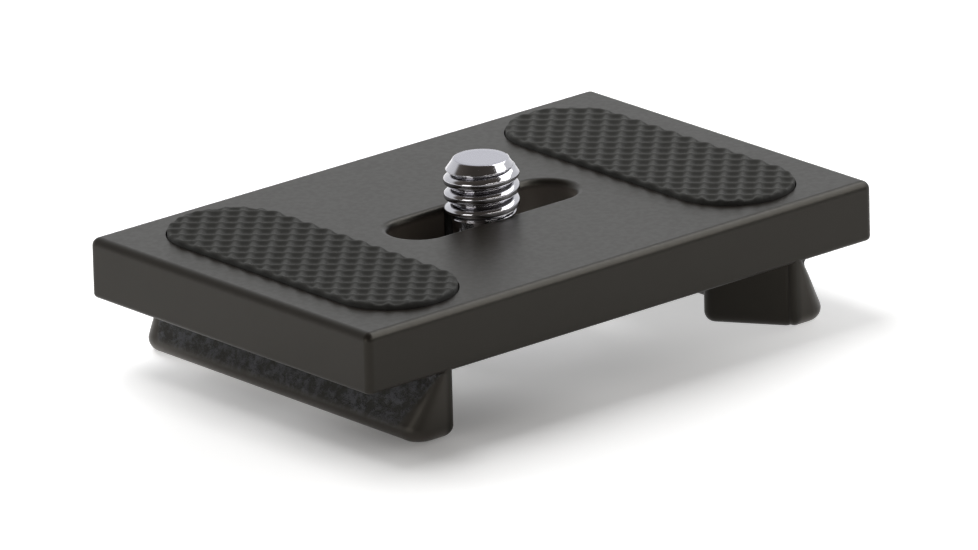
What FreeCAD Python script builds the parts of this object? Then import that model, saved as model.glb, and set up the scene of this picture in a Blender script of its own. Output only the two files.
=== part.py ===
import FreeCAD, Part
import math
import os
import re

import Sketcher

# A tripod quick release plate: a cast plate on two dovetail rails, with two rubber pads on
# top, each with a net of small ridges, and a camera screw that slides along a slot and is
# turned by a folding ring.
# Millimetres. +X is the plate's long direction, +Z is up towards the camera. The origin is
# on the floor under the middle of the plate, at the feet of the rails.

SIZES = {
    # Plate
    "plate_length": 55.0,
    "plate_width": 35.0,
    "plate_thickness": 5.2,
    "plan_corner_radius": 0.6,
    "top_edge_radius": 0.7,
    "bottom_edge_radius": 0.4,
    # Dovetail rails
    "rail_height": 5.65,
    "rail_inset": 9.05,
    "neck_width": 1.45,
    "flank_angle": 32.0,
    "rail_edge_radius": 1.0,
    "rail_foot_radius": 2.3,
    "rail_neck_radius": 0.5,
    "rail_inner_radius": 0.5,
    "rail_embed": 0.5,
    "flank_root_radius": 0.4,
    "root_radius": 0.3,
    "root_embed": 0.2,
    # Corner stops on the inner side of the rails
    "stop_reach": 4.8,
    "stop_run": 7.3,
    "stop_tip_radius": 1.0,
    "stop_nose_radius": 0.5,
    "stop_edge_radius": 0.9,
    "stop_root_length": 6.4,
    # Rubber pads and their recesses
    "pad_inset": 9.05,
    "pad_length": 31.0,
    "pad_width": 10.9,
    "pad_recess_depth": 1.0,
    "pad_gap": 0.12,
    "pad_proud": 0.6,
    "net_pitch": 1.52,
    "net_ridge": 0.35,
    "net_offset": 0.45,
    "net_depth": 0.45,
    "net_draft": 35.0,
    # Slot, its rim and the track under it
    "slot_spacing": 13.6,
    "slot_width": 5.3,
    "slot_rim_radius": 0.6,
    "track_depth": 2.2,
    "track_clearance": 0.4,
    # Camera screw: a quarter inch stud with twenty threads to the inch
    "stud_diameter": 6.35,
    "stud_tip_diameter": 4.66,
    "stud_height": 4.45,
    "stud_lift": 0.15,
    "stud_run_out": 0.45,
    "neck_diameter": 5.0,
    "screw_float": 0.4,
    "head_diameter": 15.0,
    "head_thickness": 2.4,
    "head_chamfer": 0.4,
    "boss_diameter": 9.6,
    "boss_height": 2.6,
    "boss_chamfer": 0.3,
    "coin_slot_width": 1.6,
    "coin_slot_depth": 1.2,
    # Washer between the head and the plate
    "washer_diameter": 12.0,
    "washer_thickness": 0.5,
    "washer_clearance": 0.08,
    # Folding ring, a bent wire
    "ring_wire": 1.6,
    "ring_head_inset": 0.2,
    "ring_bend_radius": 1.4,
    "ring_straight": 3.0,
    "ring_pin_depth": 2.4,
    "ring_pin_end_gap": 0.15,
    "ring_hole_clearance": 0.05,
}


def make_sheet(doc):
    """The sheet of driving dimensions, one row and one alias for each."""
    sheet = doc.addObject("Spreadsheet::Sheet", "Sizes")
    for row, (alias, value) in enumerate(SIZES.items(), start=1):
        sheet.set("A%d" % row, alias)
        sheet.set("B%d" % row, str(value))
        sheet.setAlias("B%d" % row, alias)
    doc.recompute()
    return sheet


def size(text):
    """The text with each size's name turned into a reference to its cell."""
    return re.sub(r"[a-z_]+", lambda m: "Sizes." + m.group() if m.group() in SIZES else m.group(), text)


def number(doc, text):
    """The value in millimetres of an expression made of sizes."""
    found = doc.Sizes.evalExpression(size(text))
    return float(getattr(found, "Value", found))


def new_body(doc, name):
    body = doc.addObject("PartDesign::Body", name)
    body.Label = name
    return body


def new_sketch(body, name, role, raised="0", turned=0.0):
    """A sketch on one of the body's origin planes, raised off it and turned about its own Y."""
    sketch = body.newObject("Sketcher::SketchObject", name)
    sketch.AttachmentSupport = [([f for f in body.Origin.OriginFeatures if f.Role == role][0], "")]
    sketch.MapMode = "FlatFace"
    turn = FreeCAD.Rotation(FreeCAD.Vector(0, 1, 0), turned)
    sketch.AttachmentOffset = FreeCAD.Placement(FreeCAD.Vector(), turn)
    if raised != "0":
        sketch.setExpression(".AttachmentOffset.Base.z", size(raised))
    return sketch


def bind(sketch, constraint, text):
    """Adds a constraint whose value is an expression made of sizes."""
    index = sketch.addConstraint(constraint)
    sketch.renameConstraint(index, "size_%d" % index)
    sketch.setExpression("Constraints.size_%d" % index, size(text))


def pin_point(sketch, geometry, end, x, y):
    """Holds a point of the sketch at the place that two expressions give."""
    for kind, axis, text in (("DistanceX", -2, x), ("DistanceY", -1, y)):
        if text == "0":
            sketch.addConstraint(Sketcher.Constraint("PointOnObject", geometry, end, axis))
        else:
            value = number(sketch.Document, text)
            bind(sketch, Sketcher.Constraint(kind, -1, 1, geometry, end, value), text)


def place(doc, x, y):
    return FreeCAD.Vector(number(doc, x), number(doc, y), 0)


def polygon(sketch, corners):
    """A closed outline of straight lines through corners given as pairs of expressions."""
    places = [place(sketch.Document, x, y) for x, y in corners]
    count = len(corners)
    first = sketch.GeometryCount
    for i in range(count):
        sketch.addGeometry(Part.LineSegment(places[i], places[(i + 1) % count]), False)
    for i in range(count):
        sketch.addConstraint(Sketcher.Constraint("Coincident", first + i, 2, first + (i + 1) % count, 1))
    for i, (x, y) in enumerate(corners):
        pin_point(sketch, first + i, 1, x, y)


def circle(sketch, x, y, radius):
    doc = sketch.Document
    up = FreeCAD.Vector(0, 0, 1)
    index = sketch.addGeometry(Part.Circle(place(doc, x, y), up, number(doc, radius)), False)
    pin_point(sketch, index, 3, x, y)
    bind(sketch, Sketcher.Constraint("Radius", index, number(doc, radius)), radius)


def stadium(sketch, ends, radius):
    """A slot's outline: two half circles about the two given centres, joined by tangents."""
    doc = sketch.Document
    centres = [place(doc, x, y) for x, y in ends]
    along = (centres[1] - centres[0]).normalize()
    heading = math.atan2(along.y, along.x)
    half = math.pi / 2
    r = number(doc, radius)
    side = FreeCAD.Vector(-along.y, along.x, 0) * r
    up = FreeCAD.Vector(0, 0, 1)
    first = sketch.GeometryCount
    far = Part.ArcOfCircle(Part.Circle(centres[1], up, r), heading - half, heading + half)
    near = Part.ArcOfCircle(Part.Circle(centres[0], up, r), heading + half, heading + 3 * half)
    sketch.addGeometry(far, False)
    sketch.addGeometry(Part.LineSegment(centres[1] + side, centres[0] + side), False)
    sketch.addGeometry(near, False)
    sketch.addGeometry(Part.LineSegment(centres[0] - side, centres[1] - side), False)
    for i in range(4):
        sketch.addConstraint(Sketcher.Constraint("Tangent", first + i, 2, first + (i + 1) % 4, 1))
    pin_point(sketch, first, 3, *ends[1])
    pin_point(sketch, first + 2, 3, *ends[0])
    sketch.addConstraint(Sketcher.Constraint("Equal", first, first + 2))
    bind(sketch, Sketcher.Constraint("Radius", first, r), radius)


def pad(body, name, sketch, length, symmetric=False):
    made = body.newObject("PartDesign::Pad", name)
    made.Profile = sketch
    made.setExpression("Length", size(length))
    if symmetric:
        made.SideType = "Symmetric"
    finish_feature(body, made)
    return made


def pocket(body, name, sketch, length, upwards=False):
    """Cuts the sketch into the body and makes sure that it took material away."""
    before = body.Shape.Volume
    made = body.newObject("PartDesign::Pocket", name)
    made.Profile = sketch
    made.setExpression("Length", size(length))
    made.Reversed = upwards
    finish_feature(body, made)
    if body.Shape.Volume >= before:
        raise RuntimeError(name + " cut nothing")
    return made


def dress_edges(body, kind, name, edges, amount_name, amount):
    """Dresses the edges of the body's last feature for which the test `edges` holds."""
    base = body.Tip
    chosen = ["Edge%d" % (i + 1) for i, edge in enumerate(base.Shape.Edges) if edges(edge)]
    if not chosen:
        raise RuntimeError(name + " found no edge")
    made = body.newObject(kind, name)
    made.Base = (base, chosen)
    made.setExpression(amount_name, size(amount))
    finish_feature(body, made)


def fillet(body, name, edges, radius):
    dress_edges(body, "PartDesign::Fillet", name, edges, "Radius", radius)


def chamfer(body, name, edges, width):
    dress_edges(body, "PartDesign::Chamfer", name, edges, "Size", width)


def finish_feature(body, made):
    body.Tip = made
    body.Document.recompute()


# How close two coordinates are that count as the same
NEAR = 1e-4


def runs_along(edge, axis):
    """True for a straight edge along one of the axes 0, 1 or 2."""
    ends = [v.Point for v in edge.Vertexes]
    if len(ends) != 2 or edge.Curve.TypeId != "Part::GeomLine":
        return False
    gap = ends[1] - ends[0]
    return abs(abs(gap[axis]) - gap.Length) < NEAR


def is_circle(edge, radius):
    return edge.Curve.TypeId == "Part::GeomCircle" and abs(edge.Curve.Radius - radius) < NEAR


def passes(edge, **wanted):
    """True when the middle of the edge has the wanted coordinates x, y or z."""
    middle = edge.valueAt((edge.FirstParameter + edge.LastParameter) / 2)
    return all(abs(getattr(middle, axis) - value) < NEAR for axis, value in wanted.items())


UNDERSIDE = "rail_height"
TOP = "rail_height + plate_thickness"
INNER = "plate_length / 2 - rail_inset"
NECK = "plate_length / 2 - rail_inset + neck_width"
PAD_X = "plate_length / 2 - pad_inset"
PAD_REACH = "(pad_length - pad_width) / 2"
NET_TURN = 45.0
TRACK_FLOOR = "rail_height + track_depth"
WASHER_TOP = TRACK_FLOOR + " - screw_float"
HEAD_TOP = WASHER_TOP + " - washer_thickness"
HEAD_BOTTOM = HEAD_TOP + " - head_thickness"
BOSS_BOTTOM = HEAD_BOTTOM + " - boss_height"
RING_AXIS = HEAD_BOTTOM + " - boss_height / 2"
RING_HALF = "head_diameter / 2 - ring_head_inset - ring_wire / 2"
RING_PIN = "boss_diameter / 2 - ring_pin_depth"


def make_plate(doc):
    """The cast plate: the slab, the two rails under it and a stop in each rail's corners."""
    halves = [make_rail(doc), make_flank_root(doc), make_wall_root(doc)]
    quarters = [make_corner_stop(doc), make_stop_root(doc)]
    across, along = FreeCAD.Vector(1, 0, 0), FreeCAD.Vector(0, 1, 0)
    quarters += [mirror(doc, item, item.Label + "_far", along) for item in quarters]
    right_side = halves + quarters
    left_side = [mirror(doc, item, item.Label + "_left", across) for item in right_side]
    plate = doc.addObject("Part::MultiFuse", "plate")
    plate.Label = "plate"
    plate.Shapes = [make_slab(doc)] + right_side + left_side
    plate.Refine = True
    doc.recompute()
    return plate


def make_slab(doc):
    """The flat slab with its slot, the pads' recesses, and the head's track on its underside.

    The slot is wider in the middle, where the stud is put in from below.
    """
    body = new_body(doc, "slab")
    section = new_sketch(body, "slab_section", "XZ_Plane")
    side = "plate_length / 2"
    polygon(section, [(side, TOP), (side, UNDERSIDE), ("-" + side, UNDERSIDE), ("-" + side, TOP)])
    pad(body, "slab_block", section, "plate_width", symmetric=True)
    under, top = number(doc, UNDERSIDE), number(doc, TOP)
    fillet(body, "plan_corners", lambda e: runs_along(e, 2), "plan_corner_radius")
    fillet(body, "lower_edges", lambda e: runs_along(e, 0) and passes(e, z=under), "bottom_edge_radius")
    fillet(body, "upper_edges", lambda e: runs_along(e, 0) and passes(e, z=top), "top_edge_radius")

    recess = new_sketch(body, "pad_recesses", "XY_Plane", TOP)
    for x in (PAD_X, "-(%s)" % PAD_X):
        stadium(recess, [(x, "-" + PAD_REACH), (x, PAD_REACH)], "pad_width / 2")
    pocket(body, "pad_recess", recess, "pad_recess_depth")

    slot = new_sketch(body, "slot_outline", "XY_Plane", TOP)
    stadium(slot, [("-slot_spacing / 2", "0"), ("slot_spacing / 2", "0")], "slot_width / 2")
    pocket(body, "slot", slot, "plate_thickness")
    wall = number(doc, "slot_width / 2")
    fillet(body, "slot_rim", lambda e: runs_along(e, 0) and passes(e, y=wall, z=top), "slot_rim_radius")

    track = new_sketch(body, "track_outline", "XY_Plane", UNDERSIDE)
    track_radius = "head_diameter / 2 + track_clearance"
    stadium(track, [("-slot_spacing / 2", "0"), ("slot_spacing / 2", "0")], track_radius)
    pocket(body, "track", track, "track_depth", upwards=True)

    entry = new_sketch(body, "entry_outline", "XY_Plane", TOP)
    circle(entry, "0", "0", "stud_diameter / 2")
    pocket(body, "screw_entry", entry, "plate_thickness")
    return body


def make_rail(doc):
    """One dovetail rail. Its outer corners are rounded more at the foot than at the neck."""
    body = new_body(doc, "rail_blank")
    section = new_sketch(body, "rail_section", "XZ_Plane")
    crown = "rail_height + rail_embed"
    lean = " * tan(flank_angle * 1deg)"
    polygon(section, [(INNER, "0"), (NECK + " + rail_height" + lean, "0"),
                      (NECK + " - rail_embed" + lean, crown), (INNER, crown)])
    pad(body, "rail_block", section, "plate_width", symmetric=True)
    fillet(body, "rail_inner_corners", lambda e: runs_along(e, 2), "rail_inner_radius")

    corners = doc.addObject("Part::Fillet", "rail_outer_corners")
    corners.Base = body
    foot, neck = number(doc, "rail_foot_radius"), number(doc, "rail_neck_radius")
    chosen = []
    for i, edge in enumerate(body.Shape.Edges):
        heights = [v.Z for v in edge.Vertexes]
        rises = len(heights) == 2 and abs(heights[0] - heights[1]) > number(doc, "rail_height")
        if rises and not runs_along(edge, 2):
            upward = edge.valueAt(edge.FirstParameter).z < edge.valueAt(edge.LastParameter).z
            chosen.append((i + 1, foot, neck) if upward else (i + 1, neck, foot))
    corners.Edges = chosen
    doc.recompute()

    rail = doc.addObject("Part::Fillet", "rail_right")
    rail.Base = corners
    radius = number(doc, "rail_edge_radius")
    chosen = []
    for i, edge in enumerate(corners.Shape.Edges):
        if all(abs(v.Z) < NEAR for v in edge.Vertexes):
            chosen.append((i + 1, radius, radius))
    rail.Edges = chosen
    doc.recompute()
    return rail


def make_corner_stop(doc):
    """The gusset in the inner corner of a rail's end, flush with the rail's foot."""
    body = new_body(doc, "stop_near_right")
    plan = new_sketch(body, "stop_plan", "XY_Plane")
    start = "-plate_width / 2 + rail_inner_radius"
    back = "-plate_width / 2 + stop_run"
    polygon(plan, [(NECK, start), (INNER, start), (INNER + " - stop_reach", back), (NECK, back)])
    pad(body, "stop_block", plan, "rail_height + rail_embed")
    tip, root, y = number(doc, INNER + " - stop_reach"), number(doc, INNER), number(doc, back)
    fillet(body, "stop_tip", lambda e: runs_along(e, 2) and passes(e, x=tip), "stop_tip_radius")
    fillet(body, "stop_nose", lambda e: runs_along(e, 2) and passes(e, x=root), "stop_nose_radius")
    fillet(body, "stop_foot", lambda e: runs_along(e, 0) and passes(e, y=y, z=0.0), "stop_edge_radius")
    return body


def make_root(doc, name, turned, away, lean, radius, length):
    """A straight hollow fillet between a wall and the plate's underside.

    The wall's foot line is `away` from the origin along the sketch's first axis, which is turned
    about the vertical and points out of the wall, and `lean` is how far the wall leans out below.
    """
    body = new_body(doc, name)
    section = new_sketch(body, name + "_section", "XZ_Plane", turned=turned)
    reach = "(%s) / tan((90 - %s) / 2 * 1deg)" % (radius, lean)
    under = ("%s + %s" % (away, reach), UNDERSIDE)
    on_wall = ("%s + %s * sin(%s * 1deg)" % (away, reach, lean),
               "%s - %s * cos(%s * 1deg)" % (UNDERSIDE, reach, lean))
    inside = ("%s - root_embed" % away, UNDERSIDE + " + root_embed")
    starts = [place(doc, *point) for point in (under, on_wall, inside)]
    r = number(doc, radius)
    centre = starts[0] - FreeCAD.Vector(0, r, 0)
    first_angle, last_angle = math.pi / 2, math.pi + math.radians(number(doc, lean))
    round_part = Part.Circle(centre, FreeCAD.Vector(0, 0, 1), r)
    section.addGeometry(Part.ArcOfCircle(round_part, first_angle, last_angle), False)
    section.addGeometry(Part.LineSegment(starts[1], starts[2]), False)
    section.addGeometry(Part.LineSegment(starts[2], starts[0]), False)
    for one, one_end, other, other_end in ((0, 2, 1, 1), (1, 2, 2, 1), (2, 2, 0, 1)):
        section.addConstraint(Sketcher.Constraint("Coincident", one, one_end, other, other_end))
    pin_point(section, 0, 1, *under)
    pin_point(section, 0, 2, *on_wall)
    pin_point(section, 1, 2, *inside)
    bind(section, Sketcher.Constraint("Radius", 0, r), radius)
    pad(body, name + "_strip", section, length, symmetric=True)
    return body


def make_flank_root(doc):
    """The fillet between the rail's outer flank and the underside."""
    length = "plate_width - 2 * rail_neck_radius"
    return make_root(doc, "flank_root", 0.0, NECK, "flank_angle", "flank_root_radius", length)


def make_wall_root(doc):
    """The fillet between the rail's inner wall and the underside, from stop to stop."""
    length = "plate_width - 2 * stop_run"
    return make_root(doc, "wall_root", 180.0, "-(%s)" % INNER, "0", "root_radius", length)


def make_stop_root(doc):
    """The fillet between the stop's slanted face and the underside."""
    run = number(doc, "stop_run - rail_inner_radius")
    turned = 180.0 + math.degrees(math.atan2(number(doc, "stop_reach"), run))
    body = make_root(doc, "stop_root", turned, "0", "0", "root_radius", "stop_root_length")
    body.setExpression(".Placement.Base.x", size(INNER + " - stop_reach / 2"))
    body.setExpression(".Placement.Base.y", size("(stop_run + rail_inner_radius - plate_width) / 2"))
    return body


def mirror(doc, source, name, normal):
    made = doc.addObject("Part::Mirroring", name)
    made.Source = source
    made.Normal = normal
    return made


def make_net_sheet(doc):
    """A square of rubber sheet whose top is a net of ridges round square pits.

    The two families of ridges are turned by 45 degrees to the sheet. A pit's middle is over
    the body's origin.
    """
    body = new_body(doc, "net_sheet")
    plan = new_sketch(body, "sheet_plan", "XY_Plane")
    side = "pad_length / 2 + net_offset"
    far_side = "-(%s)" % side
    polygon(plan, [(side, far_side), (side, side), (far_side, side), (far_side, far_side)])
    floor = "pad_recess_depth + pad_proud - net_depth"
    pad(body, "sheet_block", plan, floor)

    crest, foot = "net_ridge / 2", "net_ridge / 2 + net_depth * tan(net_draft * 1deg)"
    reach = "%s / sqrt(2) + pad_width / 2 + net_offset + %s" % (PAD_REACH, foot)
    steps = math.floor(number(doc, reach) / number(doc, "net_pitch") + 0.5)
    first = "-(%d - 0.5) * net_pitch" % steps
    for turn, tag in ((-NET_TURN, "rising"), (NET_TURN, "falling")):
        section = new_sketch(body, tag + "_ridge_section", "XZ_Plane", turned=turn)
        polygon(section, [("%s - (%s)" % (first, foot), floor), ("%s + %s" % (first, foot), floor),
                          ("%s + %s" % (first, crest), floor + " + net_depth"),
                          ("%s - %s" % (first, crest), floor + " + net_depth")])
        ridge = pad(body, tag + "_ridge", section, "pad_length", symmetric=True)
        rows = body.newObject("PartDesign::LinearPattern", tag + "_ridges")
        rows.Originals = [ridge]
        rows.Direction = (section, ["H_Axis"])
        rows.setExpression("Length", size("%d * net_pitch" % (2 * steps - 1)))
        rows.Occurrences = 2 * steps
        finish_feature(body, rows)
    return body


def make_pad(doc):
    """The right-hand rubber pad, a stadium cut from the sheet so that pits at its rim are open.

    The net isn't centred on the pad's length, so the two pads, which are the same moulding
    turned round, don't look alike from one side.
    """
    sheet = make_net_sheet(doc)
    blank = new_body(doc, "pad_blank")
    outline = new_sketch(blank, "pad_outline", "XY_Plane")
    stadium(outline, [("0", "-" + PAD_REACH), ("0", PAD_REACH)], "pad_width / 2 - pad_gap")
    pad(blank, "pad_block", outline, "pad_recess_depth + pad_proud")
    for piece in (sheet, blank):
        piece.setExpression(".Placement.Base.x", size(PAD_X))
        piece.setExpression(".Placement.Base.z", size(TOP + " - pad_recess_depth"))
    sheet.setExpression(".Placement.Base.y", size("net_offset"))
    made = doc.addObject("Part::MultiCommon", "grip_pad_right")
    made.Shapes = [blank, sheet]
    made.Refine = True
    doc.recompute()
    return made


def make_screw(doc):
    """The camera screw, turned in one piece: stud, neck, round head and boss."""
    body = new_body(doc, "camera_screw")
    profile = new_sketch(body, "screw_profile", "XZ_Plane")
    stud, neck = "stud_diameter / 2", "neck_diameter / 2"
    tip = "stud_tip_diameter / 2"
    crest = TOP + " + stud_height"
    polygon(profile, [
        ("0", crest), (tip, crest),
        (stud, crest + " - (stud_diameter - stud_tip_diameter) / 2"),
        (stud, TOP + " + stud_lift"), (neck, TOP + " + stud_lift - stud_run_out"),
        (neck, HEAD_TOP), ("head_diameter / 2", HEAD_TOP),
        ("head_diameter / 2", HEAD_BOTTOM), ("boss_diameter / 2", HEAD_BOTTOM),
        ("boss_diameter / 2", BOSS_BOTTOM), ("0", BOSS_BOTTOM)])
    turned = body.newObject("PartDesign::Revolution", "screw_turning")
    turned.Profile = profile
    turned.ReferenceAxis = (profile, ["V_Axis"])
    turned.Angle = 360
    finish_feature(body, turned)

    rim, boss = number(doc, "head_diameter / 2"), number(doc, "boss_diameter / 2")
    foot = number(doc, BOSS_BOTTOM)
    chamfer(body, "head_rims", lambda e: is_circle(e, rim), "head_chamfer")
    chamfer(body, "boss_rim", lambda e: is_circle(e, boss) and passes(e, z=foot), "boss_chamfer")

    coin = new_sketch(body, "coin_slot_outline", "XY_Plane", BOSS_BOTTOM)
    x, y = "coin_slot_width / 2", "boss_diameter"
    polygon(coin, [("-" + x, "-" + y), (x, "-" + y), (x, y), ("-" + x, y)])
    pocket(body, "coin_slot", coin, "coin_slot_depth", upwards=True)

    inner_end = "boss_diameter / 2 - ring_pin_depth - ring_pin_end_gap"
    hole = new_sketch(body, "ring_hole_outline", "YZ_Plane", inner_end)
    circle(hole, "0", RING_AXIS, "ring_wire / 2 + ring_hole_clearance")
    drilled = pocket(body, "ring_hole", hole, "boss_diameter / 2", upwards=True)
    opposite = body.newObject("PartDesign::Mirrored", "ring_hole_opposite")
    opposite.Originals = [drilled]
    opposite.MirrorPlane = ([f for f in body.Origin.OriginFeatures if f.Role == "YZ_Plane"][0], [""])
    finish_feature(body, opposite)
    return body


def make_washer(doc):
    """The thin washer on the screw's neck, which slides under the plate with it."""
    body = new_body(doc, "slide_washer")
    plan = new_sketch(body, "washer_plan", "XY_Plane", HEAD_TOP)
    circle(plan, "0", "0", "washer_diameter / 2")
    circle(plan, "0", "0", "neck_diameter / 2 + washer_clearance")
    pad(body, "washer_blank", plan, "washer_thickness")
    return body


def make_ring(doc):
    """The folding ring: one bent wire whose two ends sit in the holes of the boss."""
    body = new_body(doc, "d_ring")
    route = new_sketch(body, "ring_route", "XY_Plane", RING_AXIS)
    a = number(doc, RING_HALF)
    bend = number(doc, "ring_bend_radius")
    straight = number(doc, "ring_straight")
    pin_x = number(doc, RING_PIN)
    up = FreeCAD.Vector(0, 0, 1)

    def at(x, y):
        return FreeCAD.Vector(x, y, 0)

    right_bend = Part.Circle(at(a - bend, -bend), up, bend)
    left_bend = Part.Circle(at(-a + bend, -bend), up, bend)
    loop = Part.Circle(at(0, -straight), up, a)
    for piece in (
            Part.LineSegment(at(pin_x, 0), at(a - bend, 0)),
            Part.ArcOfCircle(right_bend, 0, math.pi / 2),
            Part.LineSegment(at(a, -bend), at(a, -straight)),
            Part.ArcOfCircle(loop, math.pi, 2 * math.pi),
            Part.LineSegment(at(-a, -straight), at(-a, -bend)),
            Part.ArcOfCircle(left_bend, math.pi / 2, math.pi),
            Part.LineSegment(at(-a + bend, 0), at(-pin_x, 0))):
        route.addGeometry(piece, False)
    for one, one_end, other, other_end in (
            (0, 2, 1, 2), (1, 1, 2, 1), (2, 2, 3, 2), (3, 1, 4, 1), (4, 2, 5, 2), (5, 1, 6, 1)):
        route.addConstraint(Sketcher.Constraint("Tangent", one, one_end, other, other_end))
    pin_point(route, 0, 1, RING_PIN, "0")
    pin_point(route, 6, 2, "-(%s)" % RING_PIN, "0")
    pin_point(route, 3, 3, "0", "-ring_straight")
    bind(route, Sketcher.Constraint("Radius", 3, a), RING_HALF)
    bind(route, Sketcher.Constraint("Radius", 1, bend), "ring_bend_radius")
    bind(route, Sketcher.Constraint("Radius", 5, bend), "ring_bend_radius")
    route.addConstraint(Sketcher.Constraint("Horizontal", 0))
    route.addConstraint(Sketcher.Constraint("Horizontal", 6))

    section = new_sketch(body, "ring_section", "YZ_Plane", RING_PIN)
    circle(section, "0", RING_AXIS, "ring_wire / 2")
    wire = body.newObject("PartDesign::AdditivePipe", "ring_wire_bend")
    wire.Profile = section
    wire.Spine = (route, [])
    finish_feature(body, wire)
    return body


def main():
    doc = FreeCAD.newDocument("quick_release_plate")
    make_sheet(doc)
    right_pad = make_pad(doc)
    mirrored_pad = mirror(doc, right_pad, "pad_mirrored", FreeCAD.Vector(0, 1, 0))
    parts = [
        make_plate(doc),
        right_pad,
        mirror(doc, mirrored_pad, "grip_pad_left", FreeCAD.Vector(1, 0, 0)),
        make_washer(doc),
        make_screw(doc),
        make_ring(doc),
    ]
    doc.recompute()
    for item in doc.Objects:
        if "Invalid" in item.State or "Error" in item.State:
            raise RuntimeError("failed: " + item.Name)
    os.makedirs("parts", exist_ok=True)
    for part in parts:
        if part.Shape.isNull() or not part.Shape.isValid():
            raise RuntimeError("bad shape: " + part.Label)
        print(part.Label, round(part.Shape.Volume, 2), len(part.Shape.Solids), part.Shape.BoundBox)
        part.Shape.exportStep("parts/" + part.Label + ".step")


main()
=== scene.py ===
import math

import bmesh
import bpy
from mathutils import Matrix, Quaternion, Vector, noise


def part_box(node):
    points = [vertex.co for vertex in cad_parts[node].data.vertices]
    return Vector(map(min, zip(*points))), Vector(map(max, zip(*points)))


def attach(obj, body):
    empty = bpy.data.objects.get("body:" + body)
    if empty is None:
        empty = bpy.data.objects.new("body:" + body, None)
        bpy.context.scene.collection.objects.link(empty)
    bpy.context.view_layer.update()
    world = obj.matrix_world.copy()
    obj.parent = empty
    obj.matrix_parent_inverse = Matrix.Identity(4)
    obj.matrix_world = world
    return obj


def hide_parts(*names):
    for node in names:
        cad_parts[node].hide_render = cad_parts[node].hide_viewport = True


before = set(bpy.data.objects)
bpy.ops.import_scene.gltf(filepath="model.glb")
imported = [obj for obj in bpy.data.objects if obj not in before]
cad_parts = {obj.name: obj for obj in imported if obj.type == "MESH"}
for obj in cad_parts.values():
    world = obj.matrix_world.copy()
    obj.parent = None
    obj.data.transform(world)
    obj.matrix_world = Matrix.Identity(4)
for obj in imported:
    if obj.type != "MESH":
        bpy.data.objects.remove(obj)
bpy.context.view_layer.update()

# A tripod quick release plate in satin black paint, with two rubber pads that have a moulded net
# on top, and a bright quarter inch camera screw, on a white light table. Metres throughout.

MM = 0.001

plate_low, plate_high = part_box("plate")
screw_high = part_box("camera_screw")[1]
PLATE_TOP = plate_high.z
UNDERSIDE = PLATE_TOP - 5.2 * MM
STUD_TOP = screw_high.z

# Where the camera of the photograph stood, found from the plate's edges
CAMERA_AZIMUTH = math.radians(-40.74)
CAMERA_ELEVATION = math.radians(18.855)
CAMERA_ROLL = math.radians(-1.486)
CAMERA_DISTANCE = 1124.3 * MM
CAMERA_CLIP = (0.05, 20.0)
VIEW_WIDTH = 80.43 * MM
AIM_ASIDE = 0.564 * MM
AIM_BELOW = 5.459 * MM

# The sensor's width in millimetres, the unit that Blender has for sensors and lenses
SENSOR = 36.0


# Small helpers for node trees

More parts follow.
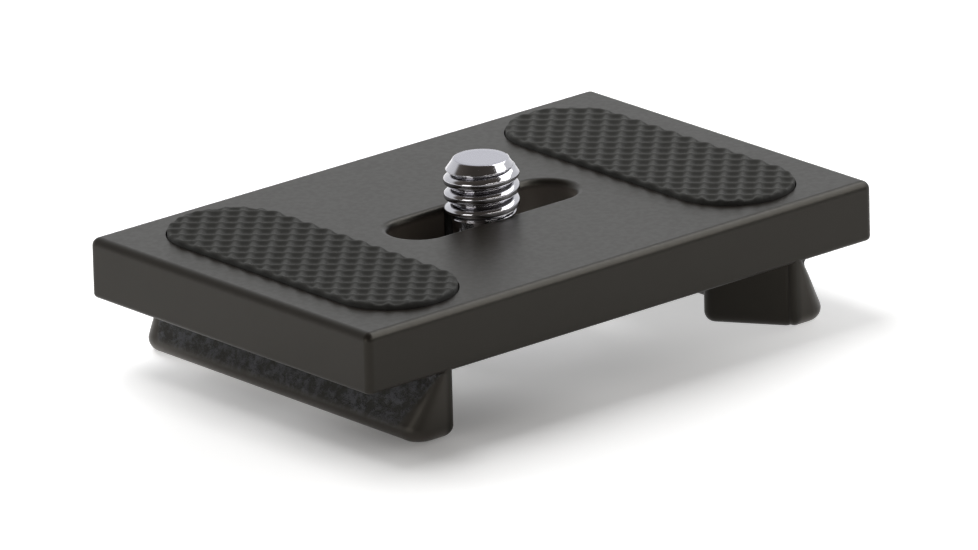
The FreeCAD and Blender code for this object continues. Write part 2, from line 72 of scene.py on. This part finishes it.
class Nodes:
    """A material's node tree with short calls for what this scene uses."""

    def __init__(self, name):
        self.material = bpy.data.materials.new(name)
        self.material.use_nodes = True
        self.tree = self.material.node_tree
        self.shader = self.tree.nodes["Principled BSDF"]
        self.place = self.add("ShaderNodeTexCoord").outputs["Object"]

    def add(self, kind, **settings):
        node = self.tree.nodes.new(kind)
        for key, value in settings.items():
            setattr(node, key, value)
        return node

    def feed(self, socket, value):
        """Gives a socket another node's output or a plain value."""
        if isinstance(value, bpy.types.NodeSocket):
            self.tree.links.new(value, socket)
        else:
            socket.default_value = value

    def noise(self, size, detail=3.0, roughness=0.5, place=None):
        """Noise whose blobs are about `size` metres across."""
        node = self.add("ShaderNodeTexNoise")
        self.feed(node.inputs["Vector"], place or self.place)
        self.feed(node.inputs["Scale"], 1.0 / size)
        self.feed(node.inputs["Detail"], detail)
        self.feed(node.inputs["Roughness"], roughness)
        return node.outputs["Fac"]

    def stretched(self, factors):
        """The object's place scaled along its axes, to draw a noise out into streaks."""
        node = self.add("ShaderNodeMapping")
        self.feed(node.inputs["Vector"], self.place)
        self.feed(node.inputs["Scale"], factors)
        return node.outputs["Vector"]

    def math(self, operation, a, b=0.0):
        node = self.add("ShaderNodeMath", operation=operation)
        for socket, value in zip(node.inputs, (a, b)):
            self.feed(socket, value)
        return node.outputs[0]

    def product(self, first, *others):
        for other in others:
            first = self.math("MULTIPLY", first, other)
        return first

    def distance(self, a, b):
        """The distance between two places that lie a apart one way and b apart at right angles to it."""
        return self.math("SQRT", self.math("ADD", self.product(a, a), self.product(b, b)))

    def between(self, value, low, high, to_low=0.0, to_high=1.0):
        """The value's place between low and high, held to the given ends and smoothed."""
        node = self.add("ShaderNodeMapRange", interpolation_type="SMOOTHSTEP")
        limits = {"From Min": low, "From Max": high, "To Min": to_low, "To Max": to_high}
        for key, number in limits.items():
            self.feed(node.inputs[key], number)
        self.feed(node.inputs["Value"], value)
        return node.outputs["Result"]

    def mix(self, factor, first, second):
        """A colour between two colours."""
        return self.mixed("RGBA", factor, first, second)

    def blend(self, factor, first, second):
        """A number between two numbers."""
        return self.mixed("FLOAT", factor, first, second)

    def mixed(self, kind, factor, first, second):
        node = self.add("ShaderNodeMix", data_type=kind)
        self.feed(node.inputs["Factor"], factor)
        self.feed(node.inputs["A"], first)
        self.feed(node.inputs["B"], second)
        return node.outputs["Result"]

    def axes(self):
        """The place along X, Y and Z."""
        node = self.add("ShaderNodeSeparateXYZ")
        self.feed(node.inputs[0], self.place)
        return node.outputs

    def bump(self, height, depth, below=None):
        """A bump whose height of one is `depth` metres high."""
        node = self.add("ShaderNodeBump")
        self.feed(node.inputs["Height"], height)
        self.feed(node.inputs["Distance"], depth)
        self.feed(node.inputs["Strength"], 1.0)
        if below is not None:
            self.feed(node.inputs["Normal"], below)
        return node.outputs["Normal"]

    def finish(self, **inputs):
        """Feeds the shader's inputs, named with underscores, and gives back the material."""
        for key, value in inputs.items():
            self.feed(self.shader.inputs[key.replace("_", " ")], value)
        return self.material


def grey(value, warmth=0.0):
    """A grey whose red is raised and whose blue is lowered by the warmth."""
    return (value * (1 + warmth), value, value * (1 - warmth), 1.0)


# The sizes of the surfaces' patterns, and how high their bumps are
FINE_GRAIN = 0.12 * MM
SATIN_GRAIN = 0.5 * MM
TURNING_MARKS = 0.09 * MM
BLOTCH = 0.9 * MM
PLATING_CLOUD = 1.6 * MM
PAINT_CLOUD = 5.0 * MM
TABLE_CLOUD = 60 * MM
PAINT_BUMP = 0.0006 * MM
CAST_BUMP = 0.05 * MM
RUBBER_BUMP = 0.006 * MM
PLATING_BUMP = 0.0003 * MM
STEEL_BUMP = 0.0015 * MM

# The range that most of a noise lies in
NOISE_RANGE = (0.3, 0.7)

# A pair below has the place where a surface starts to change and the place where the change is
# complete. The first three lie on the rails: on their outer sides, under the slab and on the toes.
RAIL_SIDE = (plate_high.x - 8.5 * MM, plate_high.x - 7.9 * MM)
RAIL_NECK = (UNDERSIDE + 0.05 * MM, UNDERSIDE - 0.15 * MM)
# The paint grows lighter down the rails' toes: painted light.
RAIL_TOE_PAINTED_LIGHT = (1.2 * MM, 0.2 * MM)

# The rough cast part of a rail starts above the foot and off the rail's end. Its own end lies
# further in lower down, by this lean from this height.
CAST_FOOT = (0.9 * MM, 1.7 * MM)
CAST_END = (-0.1 * MM, 0.3 * MM)
CAST_END_TOP = UNDERSIDE - 0.05 * MM
CAST_END_LEAN = 0.55

# The slot's inside lies between its sides and ends and under its rim. The entry bore at its
# middle is left out.
SLOT_SIDE = (3.3 * MM, 3.2 * MM)
SLOT_END = (10.0 * MM, 9.8 * MM)
SLOT_RIM = (PLATE_TOP - 0.2 * MM, PLATE_TOP - 0.8 * MM)
ENTRY_EDGE = (1.8 * MM, 1.95 * MM)

# The pads grow paler up to their crests, and paler from the middle to the right pad as painted sheen
PAD_CREST = (PLATE_TOP + 0.35 * MM, PLATE_TOP + 0.62 * MM)
RIGHT_PAD_PAINTED_SHEEN = (0.0, 18 * MM)

# The stud's plating changes at its end face
END_FACE = (STUD_TOP - 0.05 * MM, STUD_TOP - 0.02 * MM)


def rail_masks(n, x, y, z):
    """One on the rails' outer sides, and one on the part of them that is rough as cast."""
    rail = n.product(n.between(n.math("ABSOLUTE", x), *RAIL_SIDE), n.between(z, *RAIL_NECK))
    to_end = n.math("SUBTRACT", plate_high.y, n.math("ABSOLUTE", y))
    end_curve = n.product(n.math("SUBTRACT", CAST_END_TOP, z), CAST_END_LEAN)
    off_end = n.between(n.math("SUBTRACT", to_end, end_curve), *CAST_END)
    return rail, n.product(rail, n.between(z, *CAST_FOOT), off_end)


def slot_masks(n, x, y, z):
    """One in the slot, and one that leaves out the entry bore at its middle."""
    between_sides = n.between(n.math("ABSOLUTE", y), *SLOT_SIDE)
    between_ends = n.between(n.math("ABSOLUTE", x), *SLOT_END)
    in_slot = n.product(between_sides, between_ends, n.between(z, *SLOT_RIM))
    return in_slot, n.between(n.math("ABSOLUTE", x), *ENTRY_EDGE)


# Materials

def black_paint():
    """Satin black paint with a fine grain; the rails' outer flanks were left rough as cast. The rails'
    outer sides and toes and the slot's walls are painted lighter, as painted light.
    """
    n = Nodes("satin_black_paint")
    x, y, z = n.axes()
    rail, flank = rail_masks(n, x, y, z)
    in_slot, off_entry = slot_masks(n, x, y, z)
    cloud = n.between(n.noise(PAINT_CLOUD, detail=2.0), *NOISE_RANGE)
    blotch = n.between(n.noise(BLOTCH, detail=6.0, roughness=0.7), 0.40, 0.64)

    paint = n.mix(cloud, grey(0.0125, 0.17), grey(0.0136, 0.16))
    # Painted light: the rails' outer sides are lighter than the paint, and lighter still down at the toes.
    rail_painted_light = n.mix(n.between(z, *RAIL_TOE_PAINTED_LIGHT), grey(0.037, 0.12), grey(0.085, 0.10))
    rough_cast = n.mix(blotch, (0.029, 0.028, 0.026, 1.0), (0.083, 0.085, 0.094, 1.0))
    # Painted light: the slot's walls are much lighter than the paint, except round the entry bore.
    slot_painted_light = n.mix(off_entry, grey(0.02, 0.1), grey(0.15, 0.12))
    colour = n.mix(rail, paint, rail_painted_light)
    colour = n.mix(flank, colour, rough_cast)
    colour = n.mix(in_slot, colour, slot_painted_light)

    in_entry = n.product(in_slot, n.math("SUBTRACT", 1.0, off_entry))
    gloss = n.blend(in_entry, 0.22, 0.02)
    satin = n.between(n.noise(SATIN_GRAIN), *NOISE_RANGE, 0.33, 0.38)
    rough = n.blend(flank, satin, 0.62)
    grain = n.bump(n.noise(FINE_GRAIN, roughness=0.6), PAINT_BUMP)
    normal = n.bump(n.product(blotch, flank), CAST_BUMP, grain)
    return n.finish(Base_Color=colour, Roughness=rough, Normal=normal, Specular_IOR_Level=gloss,
                    Specular_Tint=(1.0, 0.95, 0.83, 1.0))


def pad_rubber():
    """Matt black rubber with a fine moulded skin, paler on the worn crests, and paler on the right pad as
    painted sheen.
    """
    n = Nodes("black_rubber")
    x, _, z = n.axes()
    skin = n.noise(FINE_GRAIN, detail=4.0, roughness=0.65)
    dust = n.between(n.noise(BLOTCH), 0.4, 0.7)
    worn = n.product(n.between(z, *PAD_CREST), n.blend(dust, 0.5, 1.0))
    # Painted sheen: the right pad's rubber is paler.
    right_pad_sheen = n.between(x, *RIGHT_PAD_PAINTED_SHEEN)
    hollow = n.mix(right_pad_sheen, (0.046, 0.0462, 0.0435, 1.0), (0.051, 0.0512, 0.0482, 1.0))
    crest = n.mix(right_pad_sheen, (0.053, 0.0532, 0.0500, 1.0), (0.065, 0.0652, 0.0613, 1.0))
    colour = n.mix(worn, hollow, crest)
    rough = n.between(skin, *NOISE_RANGE, 0.62, 0.78)
    return n.finish(Base_Color=colour, Roughness=rough, Normal=n.bump(skin, RUBBER_BUMP),
                    Specular_IOR_Level=0.14)


def bright_plating():
    """Nickel plating on turned steel: nearly a mirror, with faint turning marks and a duller end face."""
    n = Nodes("bright_nickel_plating")
    z = n.axes()[2]
    marks = n.noise(TURNING_MARKS, detail=2.0, place=n.stretched((0.02, 0.02, 1.0)))
    cloud = n.noise(PLATING_CLOUD, detail=2.0)
    face = n.between(z, *END_FACE)
    bright = n.mix(cloud, (0.42, 0.415, 0.44, 1.0), (0.46, 0.455, 0.48, 1.0))
    colour = n.mix(face, bright, (0.39, 0.385, 0.425, 1.0))
    rough = n.blend(face, n.between(cloud, *NOISE_RANGE, 0.10, 0.14), 0.26)
    return n.finish(Base_Color=colour, Metallic=1.0, Roughness=rough, Normal=n.bump(marks, PLATING_BUMP))


def satin_steel(name, tone, smoothest, roughest):
    """Plain steel with fine brushing, for the washer and the ring."""
    n = Nodes(name)
    grain = n.noise(FINE_GRAIN, roughness=0.6, place=n.stretched((0.08, 1.0, 1.0)))
    colour = n.mix(grain, grey(tone * 0.92), grey(tone, 0.01))
    rough = n.between(grain, *NOISE_RANGE, smoothest, roughest)
    return n.finish(Base_Color=colour, Metallic=1.0, Roughness=rough, Normal=n.bump(grain, STEEL_BUMP))


# A painted shadow on the table: the spot where its glow is least, where the plate's shadow is deepest, and
# the oval round it in which the table glows less. Each step outwards from that spot has its start, its end
# and the glow that it adds.
PAINTED_SHADOW_SPOT = (plate_low.x + 10 * MM, plate_low.y + 2.8 * MM)
OVAL_STRETCH = 1.62
OVAL_TURN = math.radians(-26.5)
LEAST_GLOW = 0.16
GLOW_STEPS = ((0.0, 10.9 * MM, 0.173), (12.1 * MM, 27.1 * MM, 0.19), (28 * MM, 60 * MM, 0.05))

# A painted shadow strip beside the left rail, where the table glows less: its middle line, from end to
# end, its reach and its depth
SHADOW_STRIP_X = plate_low.x + 5.2 * MM
SHADOW_STRIP_ENDS = (plate_low.y - 3.8 * MM, plate_low.y + 24.4 * MM)
SHADOW_STRIP_REACH = 4.1 * MM
SHADOW_STRIP_DIP = 0.085


def distance_from_shadow_spot(n, x, y):
    """How far out a place lies, along the oval's short side, on the ovals round the painted shadow's spot.
    """
    aside = n.math("SUBTRACT", x, PAINTED_SHADOW_SPOT[0])
    behind = n.math("SUBTRACT", y, PAINTED_SHADOW_SPOT[1])
    cosine, sine = math.cos(OVAL_TURN), math.sin(OVAL_TURN)
    along = n.math("ADD", n.product(aside, cosine), n.product(behind, sine))
    across = n.math("SUBTRACT", n.product(behind, cosine), n.product(aside, sine))
    return n.distance(n.math("DIVIDE", along, OVAL_STRETCH), across)


def distance_from_shadow_strip(n, x, y):
    """How far a place lies from the middle line of the painted shadow strip beside the left rail."""
    nearest = n.math("MINIMUM", n.math("MAXIMUM", y, SHADOW_STRIP_ENDS[0]), SHADOW_STRIP_ENDS[1])
    return n.distance(n.math("SUBTRACT", x, SHADOW_STRIP_X), n.math("SUBTRACT", y, nearest))


def painted_shadow_table():
    """A white light table: it is lit from above and glows by itself, less in front of the plate and beside
    the left rail, where the lowered glow is painted shadow.
    """
    n = Nodes("painted_shadow_table")
    colour = n.mix(n.noise(TABLE_CLOUD), (0.86, 0.86, 0.86, 1.0), (0.88, 0.88, 0.88, 1.0))
    x, y, _ = n.axes()
    from_spot = distance_from_shadow_spot(n, x, y)
    glow = LEAST_GLOW
    for start, end, rise in GLOW_STEPS:
        glow = n.math("ADD", glow, n.between(from_spot, start, end, 0.0, rise))
    # Painted shadow: the glow is lowered along the strip beside the left rail.
    painted_shadow_dip = n.between(distance_from_shadow_strip(n, x, y), 0.0, SHADOW_STRIP_REACH, SHADOW_STRIP_DIP, 0.0)
    return n.finish(Base_Color=colour, Roughness=0.9, Emission_Color=(1.0, 1.0, 1.0, 1.0),
                    Emission_Strength=n.math("SUBTRACT", glow, painted_shadow_dip))


# Helpers for shapes

def new_object(name, vertices, faces):
    """A smooth shaded mesh object in the scene."""
    mesh = bpy.data.meshes.new(name)
    mesh.from_pydata(vertices, [], faces)
    mesh.validate()
    for polygon in mesh.polygons:
        polygon.use_smooth = True
    obj = bpy.data.objects.new(name, mesh)
    bpy.context.collection.objects.link(obj)
    return obj


def weld(obj, distance):
    """Joins the points of a mesh that lie closer together than a distance."""
    bm = bmesh.new()
    bm.from_mesh(obj.data)
    bmesh.ops.remove_doubles(bm, verts=bm.verts, dist=distance)
    bmesh.ops.recalc_face_normals(bm, faces=bm.faces)
    bm.to_mesh(obj.data)
    bm.free()


def draw_rim_down(obj, z):
    """Draws the open rim of a mesh straight down to a height, in the same order each run."""
    bm = bmesh.new()
    bm.from_mesh(obj.data)
    rim = [edge for edge in bm.edges if edge.is_boundary]
    below = {}
    for edge in rim:
        for point in edge.verts:
            if point not in below:
                below[point] = bm.verts.new((point.co.x, point.co.y, z))
    for edge in rim:
        start, end = edge.verts
        wall = bm.faces.new((start, end, below[end], below[start]))
        wall.smooth = True
    bmesh.ops.recalc_face_normals(bm, faces=bm.faces)
    bm.to_mesh(obj.data)
    bm.free()


def smoothstep(value):
    value = min(max(value, 0.0), 1.0)
    return value * value * (3 - 2 * value)


def soft_min(a, b, blend):
    """The smaller of two values, rounded off where they are less than `blend` apart."""
    near = max(blend - abs(a - b), 0.0) / blend
    return min(a, b) - near * near * blend / 4


# The pads' net: square pits of this pitch between ridges, turned by 45 degrees
NET_PITCH = 1.52 * MM
NET_OFFSET = 0.45 * MM
NET_BLEND = 0.30 * MM
PIT_DEPTH = 0.43 * MM
PIT_SLOPE = 1.1
RIDGE_WIDTH = 0.28 * MM
RIDGE_TOP = PIT_DEPTH - NET_BLEND / 4
RIDGE_CROWN = 0.06 * MM
RIDGE_ROUNDING = 0.16 * MM

# The pads' rim: its rounding, and the border in which the pits are filled up to a share
RIM_ROUNDING = 0.24 * MM
BORDER_WIDTH = 0.5 * MM
BORDER_FILL = 0.6

# The slight waves of the rubber
WAVE_LENGTH = 1.3 * MM
WAVE_HEIGHT = 0.012 * MM

# The pads' mesh: its lines to a pitch and how far they draw together at the ridges, how far out a
# point may lie that is brought onto the outline, and what is welded and creased
NET_SAMPLES = 16
NET_BUNCHING = 0.5
OUTLINE_REACH = NET_PITCH / 6
WELD_DISTANCE = 0.002 * MM
CREASE_ANGLE = math.radians(62)
TINY = 1e-9


def ridge_height(across):
    """Height over the pits' floor at a distance from the middle of the nearest pit."""
    from_ridge = NET_PITCH / 2 - abs(across - NET_PITCH * round(across / NET_PITCH))
    flank = RIDGE_TOP - (from_ridge - RIDGE_WIDTH / 2) * PIT_SLOPE
    crown = RIDGE_TOP - RIDGE_CROWN * (from_ridge / RIDGE_WIDTH) ** 2
    crest = soft_min(flank, crown, RIDGE_ROUNDING)
    return -soft_min(-crest, 0.0, RIDGE_ROUNDING)


def net_height(u, v):
    """Height of two families of ridges over the pits' floor, a little more where they cross."""
    return -soft_min(-ridge_height(u), -ridge_height(v), NET_BLEND)


def pad_height(u, v, place, inside):
    """Height of the pad's skin over the pits' floor: the net, the border, the waves and the rim."""
    border = BORDER_FILL * (1 - smoothstep(inside / BORDER_WIDTH))
    height = net_height(u, v) * (1 - border) + RIDGE_TOP * border
    height += noise.noise(place / WAVE_LENGTH) * WAVE_HEIGHT
    from_rim = max(inside, 0.0)
    if from_rim < RIM_ROUNDING:
        height -= RIM_ROUNDING - math.sqrt(RIM_ROUNDING ** 2 - (RIM_ROUNDING - from_rim) ** 2)
    return height


def net_lines(reach):
    """Places of the mesh's lines along one axis of the net, closer together at the ridges."""
    cells = math.ceil(reach / NET_PITCH)
    places = []
    for k in range(-cells * NET_SAMPLES, cells * NET_SAMPLES + 1):
        turns = k / NET_SAMPLES
        shift = NET_BUNCHING * math.sin(2 * math.pi * turns) / (2 * math.pi)
        places.append((turns + shift) * NET_PITCH)
    return places


def stadium_distance(x, y, radius, half_straight):
    """How far a point lies inside the pad's outline, and the outward direction there."""
    aside = y - min(max(y, -half_straight), half_straight)
    away = math.hypot(x, aside)
    return radius - away, x / max(away, TINY), aside / max(away, TINY)


def build_pad(node, turn):
    """A rubber pad: a fine mesh along the net's two directions, trimmed to the stadium.

    Points just outside the outline are brought onto it, and the rim is drawn down into the recess.
    The turn is 1, or -1 for the same moulding turned round, and it gives each pad its own waves.
    """
    low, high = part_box(node)
    centre = (low + high) / 2
    radius = (high.x - low.x) / 2
    half_straight = (high.y - low.y) / 2 - radius
    floor = high.z - PIT_DEPTH
    root = math.sqrt(0.5)
    lines = net_lines((half_straight + radius) * root + radius)
    vertices, places, within = [], {}, set()
    for i, u in enumerate(lines):
        for j, v in enumerate(lines):
            x, y = (u - v) * root, (u + v) * root - NET_OFFSET
            inside, out_x, out_y = stadium_distance(x, y, radius, half_straight)
            if inside < -OUTLINE_REACH:
                continue
            height = pad_height(u, v, Vector((x, y, turn)), inside)
            if inside > 0:
                within.add((i, j))
            else:
                x, y = x + out_x * inside, y + out_y * inside
            places[i, j] = len(vertices)
            vertices.append((centre.x + turn * x, centre.y + turn * y, floor + height))
    faces = []
    for i, j in places:
        corners = [(i, j), (i + 1, j), (i + 1, j + 1), (i, j + 1)]
        if all(corner in places for corner in corners) and any(corner in within for corner in corners):
            faces.append(tuple(places[corner] for corner in corners))
    pad = new_object(node + "_moulded", vertices, faces)
    weld(pad, WELD_DISTANCE)
    draw_rim_down(pad, low.z)
    pad.data.set_sharp_from_angle(angle=CREASE_ANGLE)
    return pad


# The quarter inch thread, twenty to the inch. The phase brings a crest to the height at which the
# photograph shows it, and a higher power makes the crests fuller.
PITCH = 25.4 * MM / 20
STUD_RADIUS = 3.175 * MM
ROOT_RADIUS = 2.47 * MM
THREAD_PHASE = math.radians(-120.0)
THREAD_POWER = 2.4
THREAD_BLEND = 0.05 * MM

# The stud's tip: its radius at the end, the chamfer's slope, how far below the end the thread's
# rows stop, and the rings that round the edge and close the end, each with its inset and drop
TIP_RADIUS = 2.30 * MM
TIP_SLOPE = 0.70
TIP_EDGE = 0.06 * MM
TIP_RINGS = ((0.02 * MM, 0.035 * MM), (0.05 * MM, 0.012 * MM), (0.10 * MM, 0.0), (0.6 * MM, 0.0),
             (1.4 * MM, 0.0))

# The stud's foot: where it reaches its full width, over what height it grows to that from the
# neck, which narrows downwards, where it is cut, and how the groove rises from nothing
FULL_WIDTH = PLATE_TOP + 0.15 * MM
RUN_OUT = 0.5 * MM
NECK_RADIUS = 2.62 * MM
NECK_TAPER = 0.08
NECK_CUT = PLATE_TOP - 1.75 * MM
GROOVE_START = PLATE_TOP - 1.6 * MM
GROOVE_RISE = 1.3 * MM

# The stud's mesh
STUD_SIDES = 180
STUD_ROWS = 156


def groove_depth(angle, z):
    """How deep the groove is, from nothing at the rounded crest to its full depth at the root."""
    turns = (z - PLATE_TOP) / PITCH - (angle + THREAD_PHASE) / (2 * math.pi)
    off_crest = 2 * abs(turns - round(turns))
    return (STUD_RADIUS - ROOT_RADIUS) * off_crest ** THREAD_POWER


def outer_radius(z):
    """The envelope of the thread: chamfered tip above, run-out into the neck below."""
    chamfer = TIP_RADIUS + TIP_SLOPE * max(STUD_TOP - z, 0.0)
    over_neck = z - FULL_WIDTH + RUN_OUT
    if over_neck > RUN_OUT:
        foot = STUD_RADIUS
    elif over_neck > 0:
        foot = NECK_RADIUS + (STUD_RADIUS - NECK_RADIUS) * over_neck / RUN_OUT
    else:
        foot = NECK_RADIUS + NECK_TAPER * over_neck
    return min(chamfer, STUD_RADIUS, foot)


def threaded_radius(angle, z):
    """The stud's radius: the thread, faded out downwards and held within its envelope."""
    fade = smoothstep((z - GROOVE_START) / GROOVE_RISE)
    return soft_min(STUD_RADIUS - groove_depth(angle, z) * fade, outer_radius(z), THREAD_BLEND)


def ring_point(radius, angle, z):
    return (radius * math.cos(angle), radius * math.sin(angle), z)


def build_stud():
    """The threaded stud, as a tube of vertices whose radius follows the helix, closed by its tip."""
    angles = [2 * math.pi * i / STUD_SIDES for i in range(STUD_SIDES)]
    vertices, faces = [], []
    for k in range(STUD_ROWS + 1):
        z = NECK_CUT + (STUD_TOP - TIP_EDGE - NECK_CUT) * k / STUD_ROWS
        vertices += [ring_point(threaded_radius(angle, z), angle, z) for angle in angles]
    for inset, drop in TIP_RINGS:
        vertices += [ring_point(TIP_RADIUS - inset, angle, STUD_TOP - drop) for angle in angles]
    last = len(vertices) - STUD_SIDES
    for low in range(0, last, STUD_SIDES):
        high = low + STUD_SIDES
        for i in range(STUD_SIDES):
            j = (i + 1) % STUD_SIDES
            faces.append((low + i, low + j, high + j, high + i))
    faces.append(tuple(last + i for i in range(STUD_SIDES)))
    return new_object("camera_screw_thread", vertices, faces)


def build_turned_part():
    """The solid's own head, boss and lower neck, up to where the threaded stud begins."""
    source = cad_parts["camera_screw"]
    lower = bpy.data.objects.new("camera_screw_turned", source.data.copy())
    bpy.context.collection.objects.link(lower)
    bm = bmesh.new()
    bm.from_mesh(lower.data)
    bmesh.ops.bisect_plane(bm, geom=bm.verts[:] + bm.edges[:] + bm.faces[:], plane_co=(0, 0, NECK_CUT),
                           plane_no=(0, 0, 1), clear_outer=True)
    bm.to_mesh(lower.data)
    bm.free()
    return lower


# Directions in the studio

def view_axes():
    """The photograph's directions: back to the camera, right and up in the picture."""
    a, e, r = CAMERA_AZIMUTH, CAMERA_ELEVATION, CAMERA_ROLL
    back = Vector((math.sin(a) * math.cos(e), -math.cos(a) * math.cos(e), math.sin(e)))
    level = Vector((math.cos(a), math.sin(a), 0))
    rise = back.cross(level)
    right = level * math.cos(r) + rise * math.sin(r)
    up = rise * math.cos(r) - level * math.sin(r)
    return back, right, up


def towards(aside, behind, rise):
    """A direction from the object: to the picture's right, away from the camera, and up."""
    level = Vector((math.cos(CAMERA_AZIMUTH), math.sin(CAMERA_AZIMUTH), 0))
    away = Vector((-math.sin(CAMERA_AZIMUTH), math.cos(CAMERA_AZIMUTH), 0))
    return (level * aside + away * behind + Vector((0, 0, rise))).normalized()


# The table's top lies a hair below the rails' feet
TABLE_EDGE = 1.6
TABLE_TOP = -0.01 * MM

LIGHT_DISTANCE = 0.6

# The surroundings. A direction's number is how far it points behind the object, less this share
# of how far it points up. Each row has a number, the tone there and the tone's warmth.
WORLD_FALL = 0.9
WORLD_TONES = ((-1.2, 0.06, 0.14), (-0.6, 0.10, 0.14), (-0.28, 0.15, 0.10), (-0.04, 1.03, -0.015),
               (1.0, 1.17, -0.015))


def build_table():
    edge, top = TABLE_EDGE, TABLE_TOP
    corners = [(-edge, -edge, top), (edge, -edge, top), (edge, edge, top), (-edge, edge, top)]
    table = new_object("table", corners, [(0, 1, 2, 3)])
    table.data.materials.append(painted_shadow_table())


def softbox(name, direction, width, height, power, turn=0.0):
    """A lamp that faces the object from a direction, turned about its own axis."""
    light = bpy.data.lights.new(name, "AREA")
    light.shape = "RECTANGLE"
    light.size, light.size_y = width, height
    light.energy = power
    obj = bpy.data.objects.new(name, light)
    bpy.context.collection.objects.link(obj)
    obj.location = direction * LIGHT_DISTANCE + Vector((0, 0, PLATE_TOP))
    obj.rotation_mode = "QUATERNION"
    obj.rotation_quaternion = direction.to_track_quat("Z", "Y") @ Quaternion((0, 0, 1), turn)
    return obj


def build_lamps():
    """Two lamps that show in no reflection, and three that show in reflections alone."""
    overhead = softbox("overhead_light", towards(-0.35, 0.5, 1.0), width=0.40, height=0.40, power=2.8)
    fill = softbox("front_left_fill", towards(-0.75, -0.63, 0.19), width=0.34, height=0.26, power=0.34)
    for lamp in (overhead, fill):
        lamp.visible_glossy = False
    front = softbox("front_left_softbox", towards(-0.72, -0.66, 0.19), width=0.30, height=0.26, power=0.78)
    front.data.color = (1.0, 0.985, 0.95)
    right = softbox("right_softbox", towards(0.65, 0.16, 0.66), width=0.84, height=0.34, power=4.6,
                    turn=math.radians(27))
    strip = softbox("front_strip", towards(0.50, -0.68, 0.40), width=0.50, height=0.05, power=0.43,
                    turn=math.radians(-7))
    strip.data.color = (1.0, 0.97, 0.92)
    for lamp in (front, right, strip):
        lamp.visible_diffuse = False


def build_world():
    """Surroundings that are bright low down behind the object, and dark above and in front of it."""
    world = bpy.data.worlds.new("studio")
    bpy.context.scene.world = world
    world.use_nodes = True
    tree = world.node_tree
    place = tree.nodes.new("ShaderNodeTexCoord").outputs["Generated"]
    number = tree.nodes.new("ShaderNodeVectorMath")
    number.operation = "DOT_PRODUCT"
    number.inputs[1].default_value = towards(0, 1, 0) - Vector((0, 0, WORLD_FALL))
    tree.links.new(place, number.inputs[0])
    first, last = WORLD_TONES[0][0], WORLD_TONES[-1][0]
    shift = tree.nodes.new("ShaderNodeMapRange")
    shift.inputs["From Min"].default_value = first
    shift.inputs["From Max"].default_value = last
    tree.links.new(number.outputs["Value"], shift.inputs["Value"])
    ramp = tree.nodes.new("ShaderNodeValToRGB")
    elements = ramp.color_ramp.elements
    elements[0].position, elements[-1].position = 0.0, 1.0
    for at, _, _ in WORLD_TONES[1:-1]:
        elements.new((at - first) / (last - first))
    for element, (_, tone, warmth) in zip(elements, WORLD_TONES):
        element.color = grey(tone, warmth)
    tree.links.new(shift.outputs["Result"], ramp.inputs["Fac"])
    tree.links.new(ramp.outputs["Color"], tree.nodes["Background"].inputs["Color"])


def build_camera():
    back, right, up = view_axes()
    place = Vector((0, 0, PLATE_TOP)) + back * CAMERA_DISTANCE + right * AIM_ASIDE - up * AIM_BELOW
    turn = Matrix((right, up, back)).transposed()
    camera = bpy.data.objects.new("camera", bpy.data.cameras.new("camera"))
    bpy.context.collection.objects.link(camera)
    camera.matrix_world = Matrix.Translation(place) @ turn.to_4x4()
    camera.data.sensor_width = SENSOR
    camera.data.lens = SENSOR * CAMERA_DISTANCE / VIEW_WIDTH
    camera.data.clip_start, camera.data.clip_end = CAMERA_CLIP
    bpy.context.scene.camera = camera


# The dressed part

def paint_node(name, material):
    """Gives a node that is shown as its solid is a material of its own."""
    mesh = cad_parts[name].data
    mesh.materials.clear()
    mesh.materials.append(material)


def dress_pads():
    rubber = pad_rubber()
    for node, turn in (("grip_pad_left", 1), ("grip_pad_right", -1)):
        pad = build_pad(node, turn)
        pad.data.materials.append(rubber)
        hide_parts(node)
        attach(pad, "plate_body")


def dress_screw():
    plating = bright_plating()
    for piece in (build_stud(), build_turned_part()):
        piece.data.materials.clear()
        piece.data.materials.append(plating)
        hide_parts("camera_screw")
        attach(piece, "screw_body")


def main():
    paint_node("plate", black_paint())
    dress_pads()
    dress_screw()
    paint_node("slide_washer", satin_steel("washer_steel", tone=0.56, smoothest=0.24, roughest=0.36))
    paint_node("d_ring", satin_steel("ring_steel", tone=0.62, smoothest=0.14, roughest=0.24))
    build_table()
    build_lamps()
    build_world()
    build_camera()
    bpy.context.scene.view_settings.view_transform = "Standard"
    bpy.context.scene.view_settings.look = "None"


main()
